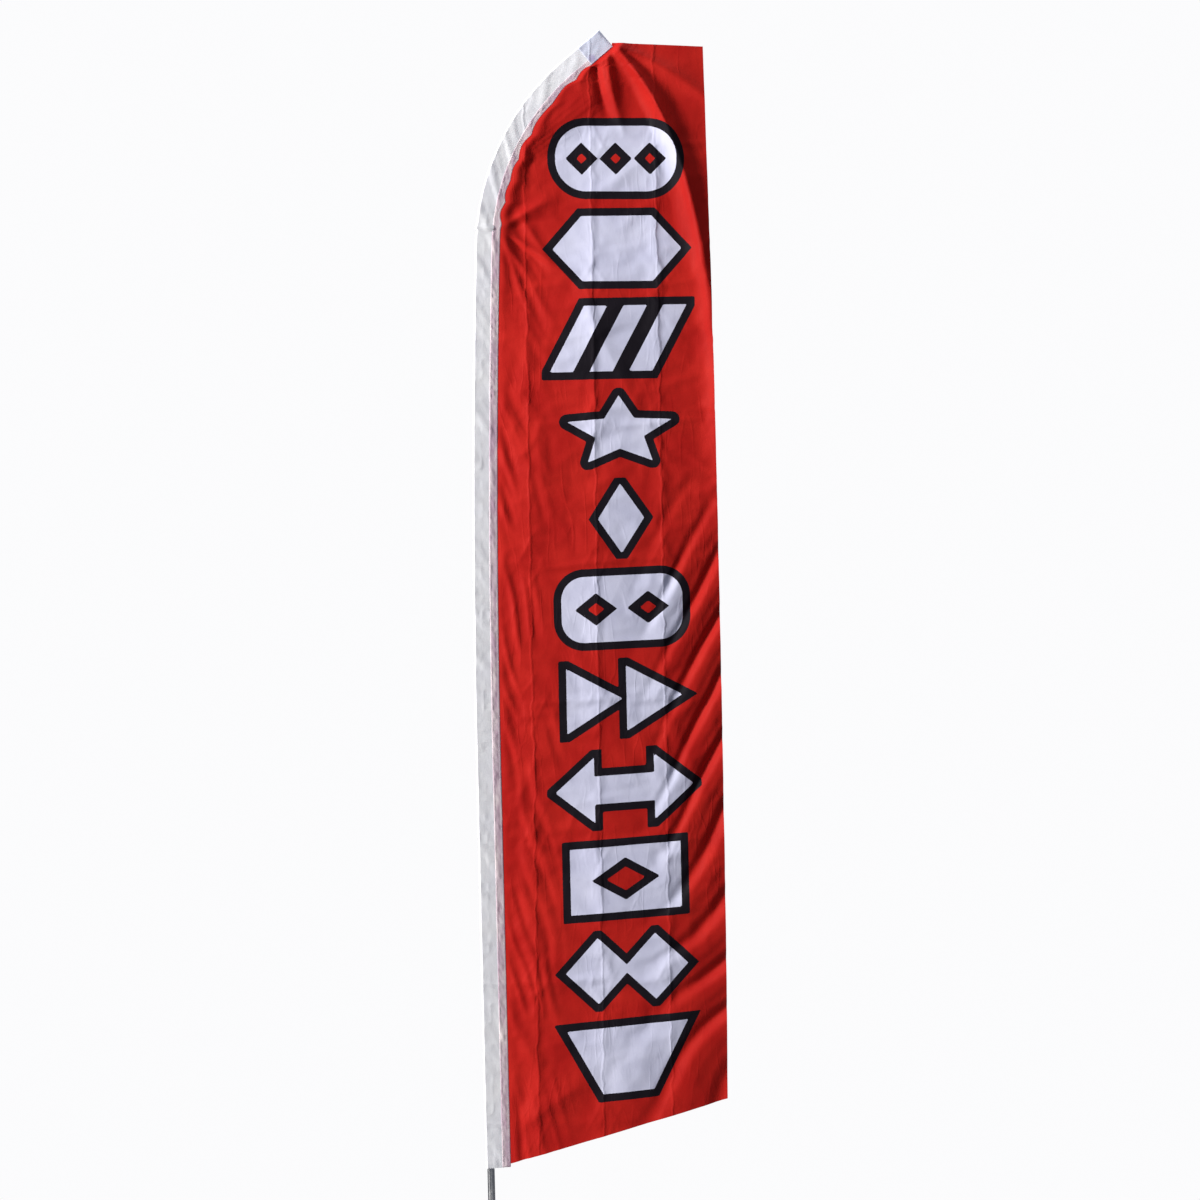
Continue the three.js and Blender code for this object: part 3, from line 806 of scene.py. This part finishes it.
def build_sleeve():
    """The sleeve's tube, open below, with an inner face so that it shows its cloth's thickness."""
    offset = spaced(-SLEEVE_LEFT, BAND_START + 0.004, 34)
    outer = []
    inner = []
    for along in np.linspace(SLEEVE_FOOT, POCKET_START + 0.012, 720):
        flare = 0.0014 * smooth(SLEEVE_FOOT + 0.05 - along, 0, 0.05) * (1 - smooth(offset, 0.014, 0.030))
        front = sleeve_front(along, offset, flare)
        back = sleeve_front(along, offset, flare, 81)
        swell = kink_step(along) * 0.8 + 0.0009 * float(noise(np.array(along / 0.06), np.array(0.5), 57))
        moved = offset - swell * before_pocket(along) * smooth(-offset, -0.004, SLEEVE_LEFT)
        outer.append(ring_around(along, moved, front, back))
        shrunk = moved + SLEEVE_WALL * (1 - 2 * smooth(offset, -SLEEVE_LEFT, BAND_START))
        depths = np.maximum(front - SLEEVE_WALL, 0), np.maximum(back - SLEEVE_WALL, 0)
        inner.append(ring_around(along, shrunk, *depths))
    return lofted("sleeve_cloth", outer + inner[::-1] + [outer[0]], False)


def build_pocket():
    """The doubled, closed end of the sleeve, flattened where it is sewn shut."""
    rings = []
    steps = np.array([0.0115, 0.009, 0.0065, 0.004, 0.002, 0.0008, 0.0])
    for along in np.concatenate([np.linspace(POCKET_START, SLEEVE_END - 0.014, 30), SLEEVE_END - steps]):
        right = float(seam_offset(along)) + 0.001
        offset = spaced(-SLEEVE_LEFT - 0.0006, right, 40)
        half = sleeve_half(along, np.clip(offset, -SLEEVE_LEFT, right)) + 0.0007
        half = half * smooth(offset, -SLEEVE_LEFT - 0.0016, -SLEEVE_LEFT + 0.004)
        closing = math.sqrt(1 - max(0.0, 1 - (SLEEVE_END - along) / 0.013) ** 2)
        half = 0.0004 + (half - 0.0004) * closing
        wrinkle = 0.0010 * noise(along / 0.024 + offset / 0.03, offset / 0.017, 61)
        half = half + wrinkle * smooth(half, 0.0015, 0.005)
        rings.append(ring_around(along, offset, half, half))
    return lofted("sleeve_end_pocket", rings, True)


def band_faces(along, offset):
    """Depths of the band's front and back, puckered between its two rows of stitches."""
    right = seam_offset(along) + 0.0012
    pucker = 0.0006 * np.sin(2 * np.pi * along / 0.031 + 3 * offset / 0.02)
    pucker = pucker + 0.0014 * noise(along / 0.038 + 0 * offset, offset / 0.03, 71)
    pucker = pucker * smooth(offset, BAND_START, BAND_START + 0.006)
    pucker = pucker * smooth(offset, right - 0.006, right - 0.014) * before_pocket(along)
    stitched = 0.0003 * np.exp(-((offset - right + 0.005) / 0.0016) ** 2)
    half = sleeve_half(along, offset) + 0.0005 * smooth(offset, right, right - 0.003) - stitched
    front = half + pucker + soft_folds(along, offset, 51) * smooth(half, 0.001, 0.006)
    back = half - pucker + soft_folds(along, offset, 81) * smooth(half, 0.001, 0.006)
    return np.maximum(front, half - FOLD_DIP), np.maximum(back, half - FOLD_DIP)


def build_seam_band():
    """The sleeve's sewn edge, with the red cloth between its two layers."""
    rings = []
    for along in np.linspace(SLEEVE_FOOT + 0.001, POCKET_START + 0.004, 800):
        offset = np.linspace(BAND_START - 0.001, float(seam_offset(along)) + 0.0012, 12)
        front, back = band_faces(along, offset)
        rings.append(ring_around(along, offset, front, back))
    return lofted("seam_band_cloth", rings, True)


def stitch_faces(first, count, flip):
    """Faces of a row of dashes. Each dash has four stations, and each station three points that
    lie count vertices apart."""
    corner = first + np.arange(count).reshape(-1, 4)
    faces = []
    for k in range(3):
        n = (k + 1) % 3
        for i in range(3):
            low = corner[:, i]
            faces.append([low + k * count, low + n * count, low + n * count + 1, low + k * count + 1])
    caps = [[corner[:, 0] + k * count for k in (2, 1, 0)], [corner[:, 3] + k * count for k in (0, 1, 2)]]
    faces = [np.stack(face if flip else face[::-1], 1).tolist() for face in faces + caps]
    return [quad for group in faces for quad in group]


def build_stitches():
    """Lockstitches in two rows down the seam band, front and back, as small rounded dashes."""
    profile = [(-0.5, 0.0), (-0.3, 1.0), (0.3, 1.0), (0.5, 0.0)]
    stations = np.arange(SLEEVE_FOOT + 0.004, POCKET_START, STITCH_PITCH)
    along = (stations[:, None] + np.array([reach * STITCH_LENGTH for reach, _ in profile])).ravel()
    rise = np.tile([height for _, height in profile], len(stations))
    rows = [seam_offset(along) - STITCH_ROW_INSET[1], np.full(len(along), BAND_START + STITCH_ROW_INSET[0])]
    vertices = []
    faces = []
    for offset in rows:
        for side, depth in zip((-1, 1), band_faces(along, offset)):
            faces += stitch_faces(len(vertices) * len(along), len(along), side > 0)
            for across, lift in ((-1, 0.0), (1, 0.0), (0, 0.0003)):
                x, z = beside(along, offset + across * STITCH_HALF_WIDTH)
                vertices.append(np.stack([x, side * (depth - 0.0004 + 0.0006 * rise + lift), z], 1))
    return mesh_object("seam_stitching", np.concatenate(vertices), faces)


# -------- materials

class Nodes:
    """A short way to write a procedural material."""

    def __init__(self, name):
        self.material = bpy.data.materials.new(name)
        self.material.use_nodes = True
        self.tree = self.material.node_tree
        self.shader = self.tree.nodes["Principled BSDF"]
        self.place = self.add("ShaderNodeTexCoord").outputs["Object"]

    def feed(self, socket, value):
        """Links a node's output to a socket, or sets a plain value or an RGB colour there."""
        if isinstance(value, bpy.types.NodeSocket):
            self.tree.links.new(value, socket)
        else:
            socket.default_value = (*value, 1.0) if socket.type == "RGBA" else value

    def add(self, kind, inputs=None, **settings):
        node = self.tree.nodes.new(kind)
        for key, value in settings.items():
            setattr(node, key, value)
        for key, value in (inputs or {}).items():
            self.feed(node.inputs[key], value)
        return node

    def stretch(self, scale, turn=(0, 0, 0)):
        inputs = {"Vector": self.place, "Scale": scale, "Rotation": turn}
        return self.add("ShaderNodeMapping", inputs).outputs[0]

    def noise(self, scale, detail=3.0, vector=None, rough=0.55):
        inputs = {"Vector": vector or self.place, "Scale": scale, "Detail": detail, "Roughness": rough}
        return self.add("ShaderNodeTexNoise", inputs).outputs["Fac"]

    def wave(self, scale, direction="X", distortion=0.0):
        inputs = {"Vector": self.place, "Scale": scale, "Distortion": distortion}
        return self.add("ShaderNodeTexWave", inputs, bands_direction=direction).outputs["Fac"]

    def ramp(self, value, low, high, start=0.3, end=0.7):
        inputs = {"Value": value, "From Min": start, "From Max": end, "To Min": low, "To Max": high}
        return self.add("ShaderNodeMapRange", inputs).outputs[0]

    def nearness(self, point, start, end, most=1.0, **settings):
        """Grows from 0 at the start distance from a point to its most at the end distance."""
        away = self.add("ShaderNodeVectorMath", {0: self.place, 1: point}, operation="DISTANCE")
        inputs = {"Value": away.outputs["Value"], "From Min": start, "From Max": end, "To Max": most}
        return self.add("ShaderNodeMapRange", inputs, **settings).outputs[0]

    def mix(self, factor, first, second):
        inputs = {0: factor, 6: first, 7: second}
        return self.add("ShaderNodeMix", inputs, data_type="RGBA").outputs[2]

    def maths(self, operation, first, second):
        return self.add("ShaderNodeMath", {0: first, 1: second}, operation=operation).outputs[0]

    def bump(self, height, strength, distance, normal=None):
        inputs = {"Height": height, "Strength": strength, "Distance": distance}
        if normal is not None:
            inputs["Normal"] = normal
        return self.add("ShaderNodeBump", inputs).outputs[0]

    def finish(self, color, roughness, normal, **values):
        values = {"Base Color": color, "Roughness": roughness, "Normal": normal, **values}
        for key, value in values.items():
            self.feed(self.shader.inputs[key], value)
        return self.material


def crease_lines(n):
    """The long packing creases as thin wavering lines, from 0 beside them to 1 on them."""
    x, _, z = n.add("ShaderNodeSeparateXYZ", {"Vector": n.place}).outputs
    waver = n.ramp(n.noise(14, 4), -0.006, 0.006)
    total = 0.0
    for foot, head in LONG_CREASES:
        lean = (head - foot) / SLEEVE_LENGTH
        across = n.maths("SUBTRACT", n.maths("ADD", x, waver), n.maths("MULTIPLY", z, lean))
        away = n.maths("ABSOLUTE", n.maths("SUBTRACT", across, foot - lean * SLEEVE_FOOT), 0.0)
        total = n.maths("ADD", n.ramp(away, 1, 0, 0, 0.006), total)
    return total


def crumple_lines(n):
    """Thin straight crumple lines in patches, from 0 to 1: each lies where a stretched noise
    passes through its middle value."""
    total = 0.0
    for turn, scale in ((0.42, 26), (-0.55, 33), (1.1, 22)):
        line = n.noise(scale, 0.5, n.stretch((1, 1, 0.2), (0, turn, 0)))
        away = n.maths("ABSOLUTE", n.maths("SUBTRACT", line, 0.5), 0.0)
        patch = n.ramp(n.noise(5 + turn, 2, n.stretch((1, 1, 0.7), (0, -turn, 0))), 0, 1, 0.49, 0.64)
        total = n.maths("ADD", n.maths("MULTIPLY", n.ramp(away, 1, 0, 0, 0.05), patch), total)
    return total


def cloth_color(n, tones):
    """Uneven dye with small specks of stain."""
    light, dark, stain = tones
    color = n.mix(n.ramp(n.noise(7, 4), 0, 1, 0.35, 0.65), dark, light)
    return n.mix(n.ramp(n.noise(900, 2), 0, 0.35, 0.35, 0.7), color, stain)


def cloth_surface(n, color, crumpled=0.0):
    """Knitted polyester: fine vertical wales, faint cross courses, creases and soft sheen."""
    knit = n.maths("ADD", n.wave(560, "X", 0.6), n.maths("MULTIPLY", n.wave(420, "Z", 0.6), 0.5))
    rub = n.ramp(n.noise(16, 5, n.stretch((1, 1, 0.35))), 0.54, 0.72)
    crumple = n.noise(34, 5, n.stretch((1, 1, 0.6), (0, 0.5, 0)), 0.6)
    normal = n.bump(crumple, 0.5, 0.0016, n.bump(knit, 0.12, 0.0003))
    if crumpled:
        normal = n.bump(crumple_lines(n), crumpled, 0.0010, normal)
    normal = n.bump(crease_lines(n), 0.7, 0.0013, normal)
    sheen = {"Sheen Weight": 0.02, "Sheen Roughness": 0.4, "Specular IOR Level": 0.07}
    return n.finish(color, rub, normal, **sheen)


def cloth_material(name, tones, crumpled=0.0):
    n = Nodes(name)
    return cloth_surface(n, cloth_color(n, tones), crumpled)


def pocket_material():
    """The doubled end of the sleeve: white darkened and tinted blue as painted shade, with a tack of purple thread
    showing through.
    """
    n = Nodes("pocket_polyester_painted_shade")
    x, z = beside(POCKET_START + 0.013, 0.040)
    tack = n.nearness((float(x), -0.003, float(z)), 0.017, 0.006, 0.6)
    return cloth_surface(n, n.mix(tack, cloth_color(n, POCKET_WHITE_IN_PAINTED_SHADE), (0.33, 0.26, 0.50)))


def seam_band_material():
    """White cloth over red: blotchy pink, lilac beside the stitching."""
    n = Nodes("seam_band")
    patch = n.ramp(n.noise(26, 4, n.stretch((1, 1, 0.35))), 0, 1, 0.35, 0.65)
    color = n.mix(patch, (0.56, 0.42, 0.52), (0.80, 0.70, 0.72))
    streak = n.ramp(n.noise(90, 3, n.stretch((1, 1, 0.2))), 0, 0.7, 0.45, 0.7)
    color = n.mix(streak, color, (0.46, 0.28, 0.40))
    pucker = n.noise(120, 3, n.stretch((0.4, 1, 1)))
    normal = n.bump(pucker, 0.5, 0.0012, n.bump(n.wave(560, "X", 0.6), 0.12, 0.0003))
    sheen = {"Sheen Weight": 0.2, "Specular IOR Level": 0.3}
    return n.finish(color, n.ramp(patch, 0.6, 0.75), normal, **sheen)


def thread_material():
    """Twisted thread with a faint spiral."""
    n = Nodes("thread")
    twist = n.wave(1500, "DIAGONAL")
    color = n.mix(twist, (0.62, 0.56, 0.62), (0.86, 0.84, 0.87))
    return n.finish(color, n.ramp(twist, 0.4, 0.6), n.bump(twist, 0.4, 0.0002), **{"Sheen Weight": 0.2})


def metal_material(name, light, dark, stretch, roughness, scratches):
    """Aluminium with drawing marks along the stretched axis, and dull worn patches."""
    n = Nodes(name)
    draw = n.noise(220, 4, n.stretch(stretch))
    color = n.mix(n.ramp(n.noise(18, 5), 0, 1), dark, light)
    worn = n.ramp(n.noise(60, 6), 0, 0.35, 0.55, 0.75)
    color = n.mix(worn, color, (0.30, 0.30, 0.31))
    rough = n.maths("ADD", n.ramp(draw, roughness - 0.08, roughness + 0.1), n.maths("MULTIPLY", worn, 0.4))
    return n.finish(color, rough, n.bump(draw, scratches, 0.0002), Metallic=1.0)


def zinc_material():
    """Zinc plate shows faint spangle and dull handling marks."""
    n = Nodes("zinc_steel")
    spangle = n.add("ShaderNodeTexVoronoi", {"Vector": n.place, "Scale": 160.0}).outputs["Distance"]
    color = n.mix(n.ramp(spangle, 0, 1, 0, 0.6), (0.66, 0.67, 0.69), (0.50, 0.51, 0.53))
    rough = n.ramp(n.noise(40, 5), 0.28, 0.55)
    return n.finish(color, rough, n.bump(n.noise(300, 4), 0.2, 0.0002), Metallic=1.0)


def moulded_material(name, color, grain):
    """Plastic with an uneven shade and a fine grain."""
    n = Nodes(name)
    cloud = n.ramp(n.noise(45, 4), 0.75, 1.15)
    mottled = n.add("ShaderNodeHueSaturation", {"Color": color, "Value": cloud}).outputs[0]
    return n.finish(mottled, n.ramp(n.noise(90, 3), 0.45, 0.62), n.bump(n.noise(grain, 2), 0.25, 0.0002))


def fibreglass_material():
    """Pale resin with long fibres."""
    n = Nodes("fibreglass")
    fibre = n.noise(400, 4, n.stretch((1, 1, 0.02)))
    color = n.mix(n.ramp(fibre, 0, 1), (0.74, 0.72, 0.62), (0.86, 0.85, 0.80))
    return n.finish(color, n.ramp(fibre, 0.3, 0.45), n.bump(fibre, 0.2, 0.0002), **{"Coat Weight": 0.3})


def floor_material():
    """An evenly lit pale floor that fades into the surround at its rim."""
    n = Nodes("studio_floor")
    cloud = n.ramp(n.noise(2.5, 4), 0, 1)
    color = n.mix(cloud, (0.30, 0.30, 0.295), (0.33, 0.33, 0.325))
    middle = (FLOOR_MIDDLE, 0, 0)
    fade = n.nearness(middle, FLOOR_RADIUS, 0.45 * FLOOR_RADIUS, interpolation_type="SMOOTHSTEP")
    glow = {"Emission Color": (1, 1, 0.99), "Emission Strength": FLOOR_GLOW, "Alpha": fade}
    return n.finish(color, n.ramp(cloud, 0.7, 0.8), n.bump(n.noise(60, 4), 0.15, 0.001), **glow)


# -------- studio

def studio_lights():
    """A strong key light from the left front, a faint fill, and soft light from above and behind."""
    for name, place, target, size, power, color in [
        ("key", (-5.7, -3.1, 4.2), (0.35, 0, 2.6), (1.2, 3.4), 930, (1.0, 0.97, 0.92)),
        ("fill", (2.6, -7.0, 3.2), (0.35, 0, 2.6), (3.0, 3.0), 36, (0.86, 0.92, 1.0)),
        ("top", (0.35, -0.5, 8.0), (0.35, 0, 0), (4.0, 4.0), 160, (1.0, 1.0, 1.0)),
        ("back", (4.5, 5.0, 4.5), (0.35, 0, 2.4), (2.0, 3.0), 420, (1.0, 0.98, 0.95)),
    ]:
        data = bpy.data.lights.new(name, "AREA")
        data.shape = "RECTANGLE"
        data.size, data.size_y = size
        data.energy = power
        data.color = color
        light = add_object(name, data)
        light.location = place
        light.rotation_euler = (Vector(target) - Vector(place)).to_track_quat("-Z", "Y").to_euler()


def studio_world(seen, light):
    """A near-white surround that is dimmer as a light than it looks."""
    world = bpy.data.worlds.new("studio")
    world.use_nodes = True
    nodes = world.node_tree.nodes
    nodes.clear()
    link = world.node_tree.links.new
    mix = nodes.new("ShaderNodeMixShader")
    link(nodes.new("ShaderNodeLightPath").outputs["Is Camera Ray"], mix.inputs["Fac"])
    for socket, color in zip((mix.inputs[1], mix.inputs[2]), (light, seen)):
        background = nodes.new("ShaderNodeBackground")
        background.inputs["Color"].default_value = (*color, 1.0)
        link(background.outputs[0], socket)
    link(mix.outputs[0], nodes.new("ShaderNodeOutputWorld").inputs["Surface"])
    bpy.context.scene.world = world


def studio_floor():
    """A round pale floor at ground level."""
    around = np.linspace(0, 2 * np.pi, FLOOR_SIDES, endpoint=False)
    rings = []
    for reach, level in [(0.03, -0.0005), (1.2, -0.0005), (FLOOR_RADIUS, -0.0005), (FLOOR_RADIUS, -0.0015)]:
        x = reach * np.cos(around) + FLOOR_MIDDLE
        rings.append(np.stack([x, reach * np.sin(around), np.full(FLOOR_SIDES, level)], 1))
    floor = lofted("studio_floor", rings, True)
    floor.data.materials.append(floor_material())


def photo_camera():
    """Square on to the flag from far away, turned so that the pole leans a little to the left."""
    data = bpy.data.cameras.new("camera")
    data.lens = CAMERA_LENS_MM
    data.sensor_width = 36
    data.clip_end = 100
    camera = add_object("camera", data)
    camera.location = CAMERA_PLACE
    camera.rotation_euler = (math.radians(90), CAMERA_ROLL, 0)
    bpy.context.scene.camera = camera


# -------- assembly

def blend_start_end():
    """From the fold line between the seam's two ends, square to it, into the free cloth."""
    joint = next(j for j in frame["joints"] if j["name"] == "fly_swing")
    start = Vector(joint["pos_m"])
    across = Vector(joint["axis"]).cross(Vector((0, 1, 0))).normalized()
    return start, start + across * math.copysign(BEND_REACH, across.x)


def smooth_shading(node):
    """Round walls shade smoothly and edges over 30 degrees stay crisp. No vertex moves."""
    attributes = node.data.attributes
    if "custom_normal" in attributes:
        attributes.remove(attributes["custom_normal"])
    node.data.polygons.foreach_set("use_smooth", [True] * len(node.data.polygons))
    weld = node.modifiers.new("weld", "WELD")
    weld.merge_threshold = 1e-6
    split_edges = node.modifiers.new("split edges", "EDGE_SPLIT")
    split_edges.split_angle = math.radians(30)


def dress_cad_nodes():
    """Gives the CAD nodes that stay visible the finish of their own material."""
    finishes = {
        "zinc_steel": zinc_material(),
        "pole_aluminium": metal_material(
            "pole_aluminium", (0.80, 0.81, 0.82), (0.66, 0.67, 0.69), (1, 1, 0.015), 0.3, 0.25
        ),
        "rivet_aluminium": metal_material(
            "rivet_aluminium", (0.82, 0.83, 0.84), (0.70, 0.71, 0.73), (1, 1, 1), 0.26, 0.15
        ),
        "nylon": moulded_material("nylon", (0.05, 0.05, 0.055), 700),
        "fibreglass": fibreglass_material(),
        "vinyl": moulded_material("vinyl", (0.06, 0.06, 0.065), 400),
    }
    slots = {part["node"]: part["material_slot"] for part in frame["record"]["subparts"]}
    for name, node in frame["nodes"].items():
        if slots[name] in finishes:
            for holder in node.material_slots:
                holder.material = finishes[slots[name]]
            smooth_shading(node)


def dress_flag():
    """The free cloth bends between the seam and the fly."""
    flag = build_flag()
    start, end = blend_start_end()
    for name, material, tones in [
        ("flag_cloth_red", "red_polyester", RED),
        ("flag_print_black", "print_black", BLACK),
        # The white print's tones carry a painted bluish shade
        ("flag_print_white", "print_white", PRINT_WHITE_IN_PAINTED_SHADE),
    ]:
        flag[name].data.materials.append(cloth_material(material, tones, crumpled=0.4))
        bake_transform(flag[name], "whip_and_flag", "flag_fly", start=start, end=end)
    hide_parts("flag_panel_hoist", "flag_panel_fly")


def dress_sleeve():
    """The sleeve's pieces ride with the whip, and all but the stitching stand for CAD nodes."""
    white = cloth_material("white_polyester", SLEEVE_WHITE)
    for piece, material, slot, *stands_for in [
        (build_sleeve(), white, "white_polyester", "pole_sleeve"),
        (build_pocket(), pocket_material(), "white_polyester", "sleeve_pocket"),
        (build_seam_band(), seam_band_material(), "pink_polyester", "sleeve_seam_band"),
        (build_stitches(), thread_material(), "white_polyester"),
    ]:
        piece.data.materials.append(material)
        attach(piece, "whip_and_flag")
        for node in stands_for:
            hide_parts(node)


dress_flag()
dress_sleeve()
dress_cad_nodes()
studio_world(seen=(0.97, 0.97, 0.98), light=(0.055, 0.06, 0.08))
studio_floor()
studio_lights()
photo_camera()
bpy.context.scene.view_settings.view_transform = "Standard"
